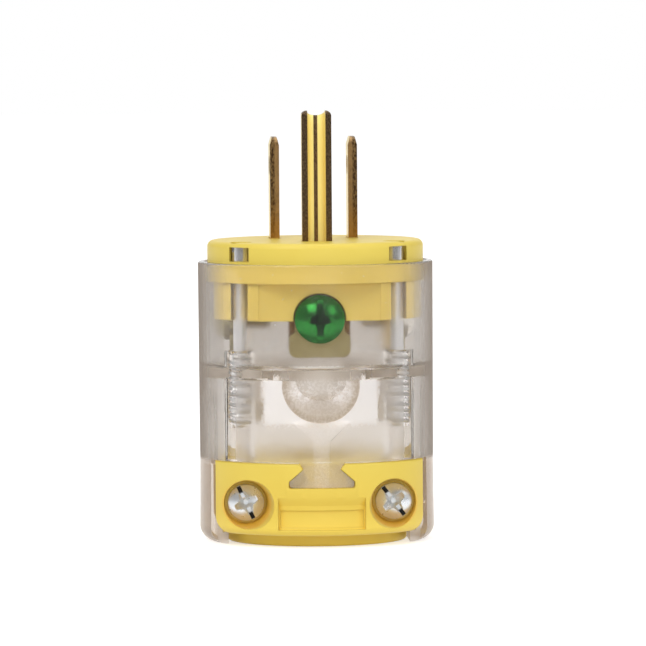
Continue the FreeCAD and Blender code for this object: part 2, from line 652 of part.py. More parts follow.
def pieces():
    neutral = side_blade()
    made = {
        "housing_shell": housing_shell(),
        "face_cover": face_cover(),
        "blade_carrier": blade_carrier(),
        "neutral_blade": neutral,
        "line_blade": neutral.mirror(ORIGIN, FreeCAD.Vector(1, 0, 0)),
        "ground_pin": ground_pin(),
        "front_clamp_jaw": front_jaw(),
        "rear_clamp_jaw": rear_jaw(),
    }
    for side in ("ground", "neutral", "line"):
        made[side + "_clamp_plate"] = facing(clamp_plate(), side)
        made[side + "_terminal_screw"] = facing(terminal_screw(), side)
    for name, side in SIDES.items():
        made["assembly_screw_" + name] = assembly_screw(side)
        made["clamp_screw_" + name] = clamp_screw(name)
        made["clamp_nut_" + name] = clamp_nut(side)
    return made


os.makedirs("parts", exist_ok=True)
for node, shape in pieces().items():
    shape.exportStep(os.path.join("parts", node + ".step"))
    print(node, len(shape.Solids), "solid", round(shape.Volume, 1), "mm3", shape.isValid())
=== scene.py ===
# %% [markdown]
# A rewireable plug with a clear housing, dressed for a product photograph. The solids arrive already in
# place and at their real size. This lesson gives them their finishes: clear moulded plastic, satin
# yellow nylon, stamped brass and plated screws. It also adds the screw threads, which the solids leave
# off, and sets up the white studio that the plug stands in. The solids could be rebuilt by hand in
# Blender, but loading them keeps every size true, so the first step is to load the frame.

# %% Load the fixed frame
import bpy
import bmesh
import math
from mathutils import Matrix, Vector


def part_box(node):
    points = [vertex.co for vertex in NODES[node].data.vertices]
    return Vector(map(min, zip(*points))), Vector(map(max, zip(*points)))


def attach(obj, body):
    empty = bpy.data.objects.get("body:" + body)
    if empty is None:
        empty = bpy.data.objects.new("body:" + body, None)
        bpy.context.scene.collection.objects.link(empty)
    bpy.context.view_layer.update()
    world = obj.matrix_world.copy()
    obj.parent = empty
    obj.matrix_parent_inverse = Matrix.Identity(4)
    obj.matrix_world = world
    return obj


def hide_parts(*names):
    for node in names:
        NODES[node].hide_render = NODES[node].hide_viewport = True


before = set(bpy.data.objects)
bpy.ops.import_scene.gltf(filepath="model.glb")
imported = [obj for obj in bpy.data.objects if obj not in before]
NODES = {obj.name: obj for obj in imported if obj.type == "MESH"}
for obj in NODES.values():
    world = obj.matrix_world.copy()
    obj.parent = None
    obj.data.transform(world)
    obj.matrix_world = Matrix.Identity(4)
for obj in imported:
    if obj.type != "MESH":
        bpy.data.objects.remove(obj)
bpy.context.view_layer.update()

MM = 0.001
print("solids in the frame:", len(NODES))

# %% [markdown]
# Several finishes change at a feature of the plug: at the rim, at the face, round a screw. Where a box
# or the corners of a solid give the place, it is read from them, so that the finish follows if the plug
# is made to another size. Features inside a solid, such as the wiring floor, have no box of their own,
# so their places are named values. BLEND is the narrowest soft edge that any mask gets.

# %% Measure the solids
BLEND = 0.1 * MM
shell_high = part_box("housing_shell")[1]
BODY_R, RIM_Z = shell_high.x, shell_high.z
FACE_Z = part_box("face_cover")[1].z
JAW_TOP_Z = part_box("front_clamp_jaw")[1].z
screw_low, screw_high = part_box("clamp_screw_right")
CLAMP_HEAD_R = (screw_high.x - screw_low.x) / 2
clamp_head = Vector(((screw_low.x + screw_high.x) / 2, screw_low.y, (screw_low.z + screw_high.z) / 2))
ground_low, ground_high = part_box("ground_terminal_screw")
ground_head = Vector((0, ground_low.y, (ground_low.z + ground_high.z) / 2))
prong = [v.co.y for v in NODES["ground_pin"].data.vertices if v.co.z > FACE_Z]
PIN_FRONT, PIN_BACK = min(prong), max(prong)
WIRING_FLOOR_Z = 28.4 * MM
print("housing radius", round(BODY_R / MM, 2), "mm, rim at", round(RIM_Z / MM, 2), "mm")

# %% [markdown]
# A material is a net of nodes, and a net written one link at a time is hard to read. A small class
# wraps a socket and gives it Python's operators, so that a mask can be written as a formula: each
# operator adds the Math node that it stands for. Every other node comes from one method, which takes
# the node's type, its settings and what goes into its sockets.

# %% A socket that can be used in a formula
class Wire:
    """One socket of a node tree: operators add Math nodes, and node() adds any other node."""

    def __init__(self, tree, socket=None, made=None):
        self.tree = tree
        self.socket = socket
        self.made = made

    def node(self, kind, settings=None, inputs=None, out=0):
        made = self.tree.nodes.new(kind)
        for name, value in (settings or {}).items():
            setattr(made, name, value)
        for name, value in (inputs or {}).items():
            if isinstance(value, Wire):
                self.tree.links.new(value.socket, made.inputs[name])
            else:
                made.inputs[name].default_value = value
        return Wire(self.tree, made.outputs[out] if len(made.outputs) else None, made)

    def maths(self, operation, *values):
        return self.node("ShaderNodeMath", {"operation": operation}, dict(enumerate(values)))

    def __add__(self, other):
        return self.maths("ADD", self, other)

    __radd__ = __add__

    def __sub__(self, other):
        return self.maths("SUBTRACT", self, other)

    def __rsub__(self, other):
        return self.maths("SUBTRACT", other, self)

    def __mul__(self, other):
        return self.maths("MULTIPLY", self, other)

    __rmul__ = __mul__

    def absolute(self):
        return self.maths("ABSOLUTE", self)

    def root(self):
        return self.maths("SQRT", self)

    def most(self, other):
        return self.maths("MAXIMUM", self, other)

    def ramp(self, low, high):
        """0 below low, 1 above high, and a smooth step between them."""
        inputs = {"Value": self, "From Min": low, "From Max": high}
        return self.node("ShaderNodeMapRange", {"interpolation_type": "SMOOTHSTEP"}, inputs)

    def mix(self, first, second):
        """The first colour where this wire is 0 and the second where it is 1."""
        inputs = {"Factor": self, 6: first, 7: second}
        return self.node("ShaderNodeMix", {"data_type": "RGBA"}, inputs, out=2)


print("formula sockets ready")

# %% [markdown]
# Every finish starts the same way: an empty material, a Principled shader and the surface's own
# coordinates. Setting that up in each material would hide what is special about it, so a class does it
# once. Object coordinates are metres in the plug's frame, so a grain of a tenth of a millimetre is
# written as such.

# %% A blank finish
BEVEL_SAMPLES = 6


def srgb(red, green, blue):
    """A colour as it looks on a screen, 0 to 255, as the linear colour that a shader works in."""
    linear = []
    for level in (red, green, blue):
        share = level / 255
        linear.append(share / 12.92 if share <= 0.04045 else ((share + 0.055) / 1.055) ** 2.4)
    return (*linear, 1.0)


def off_axis(aside, height):
    """How far a point is from an axis, from its two distances across that axis."""
    return (aside * aside + height * height).root()


class Finish:
    """A material with one Principled shader, and the coordinates that its patterns read."""

    def __init__(self, name, **constants):
        self.material = bpy.data.materials.new(name)
        self.material.use_nodes = True
        tree = self.material.node_tree
        tree.nodes.clear()
        self.start = Wire(tree)
        self.surface = self.start.node("ShaderNodeBsdfPrincipled")
        self.shader = self.surface.made
        self.output = self.start.node("ShaderNodeOutputMaterial", None, {"Surface": self.surface}).made
        for name, value in constants.items():
            self.shader.inputs[name.replace("_", " ")].default_value = value
        self.place = self.start.node("ShaderNodeTexCoord", out="Object")
        self.normal = self.start.node("ShaderNodeTexCoord", out="Normal")
        self.x, self.y, self.z = (self.split(self.place, axis) for axis in "XYZ")

    def split(self, vector, axis):
        return self.start.node("ShaderNodeSeparateXYZ", None, {"Vector": vector}, out=axis)

    def noise(self, grain, detail=3.0, stretch=(1, 1, 1)):
        """Cloudy noise with features about one grain, in metres, across."""
        scaled = self.start.node("ShaderNodeMapping", None,
                                 {"Vector": self.place, "Scale": tuple(s / grain for s in stretch)})
        inputs = {"Vector": scaled, "Scale": 1.0, "Detail": detail}
        return self.start.node("ShaderNodeTexNoise", None, inputs)

    def feed(self, **links):
        for name, wire in links.items():
            self.start.tree.links.new(wire.socket, self.shader.inputs[name.replace("_", " ")])

    def bump(self, height, depth, strength=1.0, edge=0.0):
        """A bump of the given depth in metres; edge rounds the look of sharp corners by that radius."""
        inputs = {"Height": height * strength, "Distance": depth}
        if edge:
            settings = {"samples": BEVEL_SAMPLES}
            inputs["Normal"] = self.start.node("ShaderNodeBevel", settings, {"Radius": edge})
        self.feed(Normal=self.start.node("ShaderNodeBump", None, inputs))

    def diffuse(self, colour):
        return self.start.node("ShaderNodeBsdfDiffuse", None, {"Color": colour})

    def coat(self, mask, shader):
        """Lays another shader over the surface where the mask is 1."""
        self.surface = self.start.node("ShaderNodeMixShader", None, {0: mask, 1: self.surface, 2: shader})
        self.start.tree.links.new(self.surface.socket, self.output.inputs["Surface"])

    def lit_through(self, tint):
        """Lets lamps shine through: shadow rays see only the given tint."""
        shadow = self.start.node("ShaderNodeLightPath", out="Is Shadow Ray")
        self.coat(shadow, self.start.node("ShaderNodeBsdfTransparent", None, {"Color": tint}))


print("blank finish ready")

# %% [markdown]
# The yellow pieces are moulded nylon, with a faint orange peel and a satin shine. One flat yellow would
# look like paint, so a slow cloud of noise mixes two close yellows. The yellow is richer in the thick jaws.
# Painted light makes it lighter at their foot, and behind the clear wall, which takes some of its light. In
# the bores of the clamp screws, painted shade makes the walls a darker orange, and painted light makes the
# floor under the head paler. The bump carries a fine grain, and a shader bevel takes the knife edge off the
# corners, as moulded corners are always a little round.

# %% Yellow nylon
NYLON_GRAIN, NYLON_CLOUD = 0.22 * MM, 6 * MM
NYLON_CORNER, GRAIN_DEPTH = 0.25 * MM, 0.02 * MM
NYLON_RELIEF, ORANGE_PEEL = 0.35, 0.6
SATIN, SATIN_CHANGE = 0.34, 0.14
RICH_FROM, RICH_OVER = FACE_Z - 30 * MM, 20 * MM
FOOT_OVER = 4 * MM
BORE_R, SEAT_R = 4.02 * MM, 3.45 * MM
FRONT_SHARE = 0.4
FACE_YELLOWS = srgb(239, 215, 96), srgb(235, 208, 86)
JAW_YELLOWS = srgb(236, 202, 76), srgb(232, 196, 70)
# Painted light: a paler yellow behind the clear wall, and at the foot of the jaws.
HOUSED_LIT_YELLOW, FOOT_LIT_YELLOW = srgb(255, 226, 116), srgb(248, 218, 92)
# Painted shade: a darker orange on the bore walls; painted light: a paler floor under the head.
BORE_SHADE_YELLOW, SEAT_LIT_YELLOW = srgb(244, 190, 62), srgb(255, 238, 144)


def clamp_axis_distance(finish):
    """How far a point is from the axis of the nearer clamp screw, seen from the front."""
    return off_axis(finish.x.absolute() - clamp_head.x, finish.z - clamp_head.z)


def yellow_nylon():
    finish = Finish("yellow_nylon", IOR=1.5, Specular_IOR_Level=0.45)
    cloud = finish.noise(NYLON_CLOUD, 2.0)
    grain = finish.noise(NYLON_GRAIN, 4.0)
    # Painted light: lighter behind the clear wall, which takes some of the light.
    housed = (RIM_Z - finish.z).ramp(0, 5 * BLEND) * (finish.z - WIRING_FLOOR_Z).ramp(0, 1 * MM)
    pale = housed.mix(cloud.mix(*FACE_YELLOWS), HOUSED_LIT_YELLOW)
    # Painted light: lighter towards the foot of the jaws.
    foot = (JAW_TOP_Z / 2 - finish.z).ramp(0, FOOT_OVER)
    rich = foot.mix(cloud.mix(*JAW_YELLOWS), FOOT_LIT_YELLOW)
    off = clamp_axis_distance(finish)
    front = (-BODY_R * FRONT_SHARE - finish.y).ramp(0, 2 * BLEND)
    # Painted shade on the walls of the bore, and painted light on its floor.
    bore = front * (BORE_R - off).ramp(0, 2 * BLEND)
    seat = bore * (SEAT_R - off).ramp(0, 3 * BLEND)
    rich = seat.mix(bore.mix(rich, BORE_SHADE_YELLOW), SEAT_LIT_YELLOW)
    deep = (RICH_FROM - finish.z).ramp(0, RICH_OVER)
    finish.feed(Base_Color=deep.mix(pale, rich), Roughness=SATIN + SATIN_CHANGE * grain)
    finish.bump(grain + ORANGE_PEEL * cloud, GRAIN_DEPTH, NYLON_RELIEF, edge=NYLON_CORNER)
    return finish.material


print("yellow nylon: bores of", round(2 * BORE_R / MM, 2), "mm round the clamp screws")

# %% [markdown]
# Blades and pin are stamped from rolled brass strip. Their sheared edges are rough and darken quickly
# to brown, and on a blade the half of the edge that the die rubbed is smoother. The edges could be
# separate pieces, but they are only a change of surface, so masks find them: on the blades from the
# surface's own normal, and on the pin from the place, because its two legs end in edges at the front
# and a dark seam runs down the channel between them.

# %% Where the sheared edges are
BLADE_X = 6.35 * MM
PIN_INNER, PIN_SEAM = 1.55 * MM, 0.34 * MM
PIN_EDGE_DEPTH = 0.25 * MM
SHEARED_TURN, TIP_TURN = (0.25, 0.6), (0.15, 0.5)
CHANNEL_FRONT, CHANNEL_BACK = 0.6 * MM, 0.4 * MM


def blade_edges(finish):
    """The sheared edges above the face, and the half of them that the die rubbed."""
    sideways = finish.split(finish.normal, "X")
    sheared = (1 - sideways * sideways).ramp(*SHEARED_TURN)
    above = (finish.z - FACE_Z).ramp(0, 2 * BLEND)
    return sheared * above, (BLADE_X - finish.x.absolute()).ramp(-BLEND, 1.5 * BLEND)


def pin_edges(finish):
    """The edges, the tip and the seam of the folded pin, of which no part was rubbed."""
    front = (PIN_FRONT + PIN_EDGE_DEPTH - finish.y).ramp(0, 1.5 * BLEND)
    tip = finish.split(finish.normal, "Z").ramp(*TIP_TURN)
    seam = (PIN_SEAM - finish.x.absolute()).ramp(-0.6 * BLEND, BLEND) * pin_channel(finish)
    return front.most(seam.most(tip)), nowhere(finish)


def pin_channel(finish):
    """The inside of the folded pin."""
    inner = (PIN_INNER - finish.x.absolute()).ramp(0, BLEND)
    behind_edges = (finish.y - PIN_FRONT - CHANNEL_FRONT).ramp(0, 3 * BLEND)
    before_back = (PIN_BACK - CHANNEL_BACK - finish.y).ramp(0, 2 * BLEND)
    return inner * behind_edges * before_back


def nowhere(finish):
    return finish.z * 0.0


print("the pin's channel is", round(2 * PIN_INNER / MM, 2), "mm wide")

# %% [markdown]
# The flat faces of the strip keep the rolling lines and a warm shine. A plain brass shader would look cast,
# so noise that is stretched along the strip draws the lines, a slower noise stains the faces, and a third
# one pits the edges. The legs of the pin throw light into the channel between them, and painted light
# stands for that: a paler brass in the channel, brightest along its middle, and a faint glow.

# %% Stamped brass
ROLLING, STAIN, PIT = 0.12 * MM, 2.5 * MM, 0.17 * MM
ALONG_STRIP, ALONG_EDGE = (1, 1, 0.02), (1, 1, 0.4)
PIT_RANGE, PIT_RELIEF = (0.36, 0.66), 2
BRASS_METAL, CHANNEL_DULL = 0.75, 0.6
BRASS_ROUGH, LINE_ROUGH, PIT_ROUGH = 0.24, 0.12, 0.14
BRASS_RELIEF = 0.4
CLEAN_LENGTH = 7.0 * MM
SMALL_CORNER = 0.12 * MM
CHANNEL_GLOW = 0.22
BLACK = (0, 0, 0, 1)
FLAT_BRASS = srgb(252, 230, 150), srgb(244, 212, 120)
# Painted light: a paler brass in the pin's channel, brightest along its middle.
CHANNEL_LIT_BRASS = srgb(255, 244, 172), srgb(250, 226, 136)
CHANNEL_LIGHT = srgb(255, 240, 140), srgb(60, 50, 22)
RUBBED_BRASS, CLEAN_BRASS = srgb(196, 158, 108), srgb(206, 148, 66)


def stamped_brass(name, edge_mask, channel_mask, pit, bare, clean_foot):
    """Brass strip; clean_foot is how far the edges near the face have kept their colour."""
    finish = Finish(name, Emission_Strength=CHANNEL_GLOW)
    lines = finish.noise(ROLLING, 3.0, ALONG_STRIP)
    stain = finish.noise(STAIN, 4.0)
    pits = finish.noise(PIT, 3.0, ALONG_EDGE).ramp(*PIT_RANGE)
    edge, rubbed = edge_mask(finish)
    channel = channel_mask(finish)
    outward = (finish.x.absolute() - PIN_SEAM).ramp(2 * BLEND, PIN_INNER - PIN_SEAM)
    flat = channel.mix(stain.mix(*FLAT_BRASS), outward.mix(*CHANNEL_LIT_BRASS))
    torn = (pits * (0.6 + 0.6 * stain)).mix(pit, bare)
    torn = (rubbed * (0.4 + 0.6 * stain)).mix(torn, RUBBED_BRASS)
    clean = (FACE_Z + CLEAN_LENGTH - finish.z).ramp(0, CLEAN_LENGTH)
    torn = (clean_foot * clean * (0.5 + stain)).mix(torn, CLEAN_BRASS)
    finish.feed(Base_Color=edge.mix(flat, torn), Metallic=BRASS_METAL - CHANNEL_DULL * channel,
                Roughness=BRASS_ROUGH + LINE_ROUGH * lines + PIT_ROUGH * edge * pits,
                Emission_Color=(channel * (1 - edge)).mix(BLACK, outward.mix(*CHANNEL_LIGHT)))
    finish.bump(lines + stain + PIT_RELIEF * edge * pits, GRAIN_DEPTH, BRASS_RELIEF, edge=SMALL_CORNER)
    return finish.material


print("stamped brass ready, edges clean for", round(CLEAN_LENGTH / MM, 1), "mm above the face")

# %% [markdown]
# The screws are plated steel, and the drives of their heads get painted shade. The faces of each drive
# could be picked by hand and painted, but then the dark would end in a hard line. Two masks work out how
# deep a point lies under the dome of its head, so the painted shade comes on with the depth.

# %% The drives of the screw heads
CLAMP_BALL_R, CLAMP_SEAT_Y, CROSS_R = 5.66 * MM, -9.1 * MM, 1.75 * MM
GROUND_BALL_R, GROUND_RECESS = 4.8 * MM, 1.8 * MM


def depth_in_head(finish, off, top, ball):
    """How deep a point lies under the dome of a screw head that faces the front."""
    return finish.y - (top + ball) + (ball * ball - off * off).most(0.0).root()


def slot_ends(finish):
    """1 deep in the slots of the clamp screws, outside their cross."""
    off = clamp_axis_distance(finish)
    sunk = depth_in_head(finish, off, clamp_head.y, CLAMP_BALL_R).ramp(BLEND, 3 * BLEND)
    sunk = sunk * (CLAMP_SEAT_Y - finish.y).ramp(0, BLEND)
    return sunk * (off - CROSS_R).ramp(-2 * BLEND, BLEND) * (CLAMP_HEAD_R - off).ramp(0, BLEND)


def ground_recess(finish):
    """1 deep in the slot and the cross of the ground screw."""
    off = off_axis(finish.x, finish.z - ground_head.z)
    sunk = depth_in_head(finish, off, ground_head.y, GROUND_BALL_R).ramp(BLEND, 5 * BLEND)
    return sunk * (ground_head.y + GROUND_RECESS - finish.y).ramp(0, BLEND)


print("clamp screw heads are", round(2 * CLAMP_HEAD_R / MM, 2), "mm across")

# %% [markdown]
# The plating is zinc on the long screws, the clamp screws and the nuts, nickel on the neutral terminal,
# brass on the line terminal and the wire clamp plates, and a green dye on the ground terminal, which
# marks it. A plain metal shader would be as even as chrome. Old zinc is greyer and less like a mirror,
# so each plating may be dulled, with a slow change of shine and a very fine grain. The heads above the
# rim stay brighter.

# %% Plated screws
PLATING_CLOUD, PLATING_GRAIN = 1.2 * MM, 0.08 * MM
PLATING_DEPTH, PLATING_RELIEF, PLATING_CHANGE = 0.01 * MM, 0.3, 0.14
HEAD_SHINE, HEAD_METAL = 0.3, 0.5


def plated(name, light, dark, rough, recess=None, recess_shade=None, dull=0.1):
    finish = Finish(name)
    cloud = finish.noise(PLATING_CLOUD, 4.0)
    colour = cloud.mix(light, dark)
    # Painted shade deep in the drive, where the recess mask is 1.
    if recess:
        colour = recess(finish).mix(colour, recess_shade)
    bright_head = (finish.z - RIM_Z).ramp(0, 3 * BLEND)
    finish.feed(Base_Color=colour, Metallic=1 - dull * (1 - HEAD_METAL * bright_head),
                Roughness=(rough + PLATING_CHANGE * cloud) * (1 - HEAD_SHINE * bright_head))
    finish.bump(finish.noise(PLATING_GRAIN, 3.0), PLATING_DEPTH, PLATING_RELIEF, edge=SMALL_CORNER)
    return finish.material


print("platings ready")

# %% [markdown]
# The housing is clear polycarbonate, and its look changes from zone to zone: it is polished outside and
# lightly frosted inside, so that the wiring shows softly, and its legs and the tab between them have
# looks of their own. The zones could be painted on a map, but masks made from the place need no map and
# stay sharp at any distance. A class of its own keeps the masks that several of the next steps use.

# %% Zones of the housing
SKIN = 0.8 * MM
PLATE_LOW = 26.8 * MM
FRONT_Y = -6 * MM
TAB_SHARE = 0.8
SPECKLE, SPECKLE_RANGE = 0.4 * MM, (0.42, 0.6)
CLEAR_TINT = srgb(250, 248, 246)


class HousingFinish(Finish):
    """Clear plastic, with masks of the zones of the housing."""

    def __init__(self):
        super().__init__("clear_polycarbonate", IOR=1.5, Transmission_Weight=1.0, Base_Color=CLEAR_TINT)
        self.inside = (BODY_R - SKIN - off_axis(self.x, self.y)).ramp(0, 3 * BLEND)
        self.upper = (self.z - WIRING_FLOOR_Z).ramp(0, 1 * MM)
        self.front = (FRONT_Y - self.y).ramp(0, 1 * MM)
        self.legs = (JAW_TOP_Z - self.z).ramp(-5 * BLEND, 5 * BLEND)
        self.tab = self.legs * (-BODY_R * TAB_SHARE - self.y).ramp(0, 1 * MM)
        self.beside = (BODY_R * TAB_SHARE - self.y.absolute()).ramp(0, 1 * MM)
        under_floor = (WIRING_FLOOR_Z - self.z).ramp(-3 * BLEND, 0)
        self.plate = self.inside * (self.z - PLATE_LOW).ramp(-3 * BLEND, 0) * under_floor
        self.speckle = self.noise(SPECKLE, 3.0).ramp(*SPECKLE_RANGE)


print("floor plate of the housing:", round((WIRING_FLOOR_Z - PLATE_LOW) / MM, 2), "mm thick")

# %% [markdown]
# Three wire scoops hang under the floor and are frosted, and two bosses for the long screws stand
# beside them and are polished like the outside. They could be pieces of their own, but they are moulded
# in one with the wall, so they are found by their distance from a point or from an axis.

# %% Scoops and bosses of the housing
SCOOP_OUT, SCOOP_Z, SCOOP_REACH = 10.3 * MM, 26.65 * MM, 7.65 * MM
BOSS_REACH = 2.35 * MM


def distance(housing, place, spot):
    inputs = {0: place, 1: spot}
    return housing.start.node("ShaderNodeVectorMath", {"operation": "DISTANCE"}, inputs, out="Value")


def scoop_mask(housing):
    """1 on the walls of the three wire scoops under the floor."""
    found = 0
    for x, y in ((0, -SCOOP_OUT), (SCOOP_OUT, 0), (-SCOOP_OUT, 0)):
        away = distance(housing, housing.place, (x, y, SCOOP_Z))
        found = (SCOOP_REACH - away).ramp(0, 1.5 * BLEND) + found
    return found.maths("MINIMUM", found, 1.0) * (PLATE_LOW - housing.z).ramp(0, 3 * BLEND)


def boss_mask(housing):
    """1 on the two pillars that take the long screws."""
    level = housing.start.node("ShaderNodeCombineXYZ", None, {"X": housing.x, "Y": housing.y, "Z": 0.0})
    found = 0
    for node in ("assembly_screw_left", "assembly_screw_right"):
        low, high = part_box(node)
        away = distance(housing, level, ((low.x + high.x) / 2, (low.y + high.y) / 2, 0))
        found = (BOSS_REACH - away).ramp(0, 1.5 * BLEND) + found
    return found


print("scoops reach", round(SCOOP_REACH / MM, 2), "mm from their centres")

# %% [markdown]
# The housing is a true refracting solid, because the thick edges, the scoops and the legs get their
# look from bent light. A thin see-through sheet would be quicker to render, but flat. Frosting is a
# matter of roughness: it blurs what is seen through the wall. In front of the ground screw the wall is
# almost polished, so that the drive of the screw stays clear.

# %% Frosting
POLISH, FROST, SCOOP_FROST, PLATE_FROST = 0.04, 0.25, 0.16, 0.25
UPPER_CLEARER, FROST_CHANGE = 0.06, 0.06
WINDOW_R, WINDOW_POLISH = 4.6 * MM, 0.75
HOUSING_GRAIN = 0.5 * MM
INSIDE_RELIEF, OUTSIDE_RELIEF, SCOOP_RELIEF = 0.05, 0.02, 0.8


def frost_walls(housing):
    grain = housing.noise(HOUSING_GRAIN, 3.0)
    scoops = scoop_mask(housing)
    frosting = housing.inside * (FROST - UPPER_CLEARER * housing.upper + FROST_CHANGE * grain)
    frosting = frosting + SCOOP_FROST * scoops + PLATE_FROST * housing.plate
    window = WINDOW_R - off_axis(housing.x, housing.z - ground_head.z)
    window = window.ramp(-6 * BLEND, 6 * BLEND) * housing.front
    kept = (1 - boss_mask(housing)) * (1 - WINDOW_POLISH * window)
    housing.feed(Roughness=POLISH + frosting * kept)
    relief = grain * (INSIDE_RELIEF * housing.inside + OUTSIDE_RELIEF)
    housing.bump(relief + SCOOP_RELIEF * housing.speckle * scoops, GRAIN_DEPTH)


print("polished window", round(2 * WINDOW_R / MM, 1), "mm wide before the ground screw")

# %% [markdown]
# The front wall gets painted light: a white square round the scoop, whose border breaks up into speckle.
# The bowl of the scoop gets painted highlights that sparkle in two lobes, with a darker ring of painted
# shade at its edge. Below it a pale, speckled stem runs down to the dovetail, and a painted highlight
# stands as a pale streak at each side. Masks say where each of them is. This cell makes the pad, the
# streaks and the stem.

# %% Pad, streaks and stem of the ground front
PAD_OUT, PAD_LOW, PAD_HIGH = 9.0 * MM, 19.5 * MM, 27.6 * MM
SIDE_FADE, LOW_FADE, HIGH_FADE = (-0.9 * MM, 1.1 * MM), (-1.2 * MM, 1.6 * MM), (-0.6 * MM, 1.0 * MM)
# Painted light: the white of the pad round the scoop.
PAD_FILL, PAD_SPECKLE, PAD_FADE = 1.1, 0.75, 0.9
# Painted highlights: the pale streaks at the sides.
STREAK_IN, STREAK_OUT, STREAK_HIGHLIGHT = 14.2 * MM, 15.6 * MM, 0.4
STEM_Z, STEM_HALF, STEM_WHITE = 17.1 * MM, 1.4 * MM, 0.3


def painted_pad(housing, aside):
    """The white square of painted light, with a speckled border."""
    pad = (PAD_OUT - aside).ramp(*SIDE_FADE) * (housing.z - PAD_LOW).ramp(*LOW_FADE)
    pad = pad * (PAD_HIGH - housing.z).ramp(*HIGH_FADE)
    return (pad * PAD_FILL - PAD_SPECKLE * housing.speckle * (PAD_FILL - pad)).ramp(0, PAD_FADE)


def side_highlights(housing, aside):
    across = (STREAK_OUT - aside).ramp(0, 4 * BLEND) * (aside - STREAK_IN).ramp(0, 4 * BLEND)
    below_floor = (WIRING_FLOOR_Z - housing.z).ramp(5 * BLEND, 15 * BLEND)
    return STREAK_HIGHLIGHT * across * (housing.z - PAD_LOW).ramp(0, 3 * MM) * below_floor


def pale_stem(housing, aside):
    """The stem, which widens as it rises towards the pad."""
    rise = (housing.z - STEM_Z).most(0.0)
    stem = (STEM_HALF + rise - aside).ramp(0, 4 * BLEND)
    stem = stem * (PAD_LOW + 1 * MM - housing.z).ramp(0, 5 * BLEND)
    return STEM_WHITE * stem * (0.4 + 0.6 * housing.speckle)


print("painted white pad", round(2 * PAD_OUT / MM, 1), "mm wide")

# %% [markdown]
# The bowl of the scoop is cut out of the pad. Its look could come from the shape alone, but here the lobes
# and the ring are drawn into it: painted highlights in the lobes and painted shade in the ring. The result
# is three masks of painted light and shade: how white, how sparkling and how shaded the front is.

# %% Bowl of the ground front
BOWL_Z, BOWL_R, BOWL_RING = 26.0 * MM, 6.0 * MM, 4.6 * MM
BOWL_FADE = 1.2 * MM
LOBE_OUT, LOBE_DROP, LOBE_R = 3.0 * MM, 0.9 * MM, 1.4 * MM
LOBE_FADE = (-1.6 * MM, 1.2 * MM)
# Painted light in the bowl's lobes; painted shade in the bowl and its ring.
BOWL_WHITE, BOWL_SPECKLE, LOBE_SPECKLE = 0.06, 0.2, 0.5
BOWL_SHADE, LOBE_LIGHTER, RING_SHADE = 0.22, 0.16, 0.34


def front_light_and_shade(housing):
    """Three masks of painted light and shade on the front: how white, how sparkling and how shaded it is.
    """
    aside, height = housing.x.absolute(), housing.z - BOWL_Z
    off = off_axis(aside, height)
    beyond = (off - BOWL_R).ramp(-BLEND, 2.5 * BLEND)
    bowl = (1 - beyond) * (PAD_HIGH - housing.z).ramp(0, BOWL_FADE)
    lobe = (LOBE_R - off_axis(aside - LOBE_OUT, height + LOBE_DROP)).ramp(*LOBE_FADE)
    ring = (off - BOWL_RING).ramp(0, BOWL_FADE)
    white = painted_pad(housing, aside) * beyond + side_highlights(housing, aside)
    sparkle = bowl * (BOWL_WHITE + (BOWL_SPECKLE + LOBE_SPECKLE * lobe) * housing.speckle)
    sparkle = sparkle + pale_stem(housing, aside)
    shade = bowl * (BOWL_SHADE - LOBE_LIGHTER * lobe + RING_SHADE * ring)
    return housing.front * white, housing.front * sparkle, housing.front * shade


print("bowl of the scoop", round(2 * BOWL_R / MM, 1), "mm wide")

# %% [markdown]
# Over the clear shader lie thin coats of diffuse shaders: a grey one, which is haze and painted shade
# inside the rear wall, painted shade in the bowl of the scoop and a greyer tone on the tab and the floor
# plate; a darker grey of painted shade where the wall is seen edge on; a warm one on the legs; and a white
# coat of painted light on the front. One shader with a changing colour could do the same, but here each
# coat has one colour, and its mask is the factor of a Mix Shader.

# %% Coats of the housing
# Greys of haze and painted shade for the inner coats, a darker grey of painted shade for the rim, and the
# warm tone of the thick legs.
HAZE_AND_SHADE_GREY, RIM_SHADE_GREY, LEG_TINT = srgb(178, 158, 130), srgb(142, 128, 114), srgb(212, 184, 154)
REAR_GREY_FADE = (-2 * MM, 4 * MM)
REAR_HAZE_AND_SHADE, UPPER_HAZE_AND_SHADE, TAB_GREY, PLATE_GREY = 0.38, 0.17, 0.3, 0.22
RIM_SHADE, LEG_RIM_CUT = 0.85, 0.85
FACING_RANGE, UPRIGHT_RANGE = (0.25, 0.85), (0.5, 0.95)
LEG_WARMTH, LEG_PALE, TAB_PALE = 0.26, 0.03, 0.06
# Painted light: the white of the front coat and its faint glow.
PAINTED_WHITE, CARRIED_TINT = srgb(254, 253, 254), srgb(250, 250, 254)
BACK_LIT_SHARE, CARRIED_LIGHT = 0.15, 0.2


def glowing_white(housing):
    """Painted light: white, with a faint glow for the light that the clear wall carries along inside it."""
    start = housing.start
    back_lit = start.node("ShaderNodeBsdfTranslucent", None, {"Color": PAINTED_WHITE})
    layers = {0: BACK_LIT_SHARE, 1: housing.diffuse(PAINTED_WHITE), 2: back_lit}
    ground = start.node("ShaderNodeMixShader", None, layers)
    carried = start.node("ShaderNodeEmission", None, {"Color": CARRIED_TINT, "Strength": CARRIED_LIGHT})
    return start.node("ShaderNodeAddShader", None, {0: ground, 1: carried})


def edge_on(housing):
    """1 where an upright wall is seen edge on, and 0 on faces that look up or down."""
    facing = housing.start.node("ShaderNodeLayerWeight", None, {"Blend": 0.5}, out="Facing")
    upward = housing.split(housing.normal, "Z")
    return facing.ramp(*FACING_RANGE) * (1 - upward * upward).ramp(*UPRIGHT_RANGE)


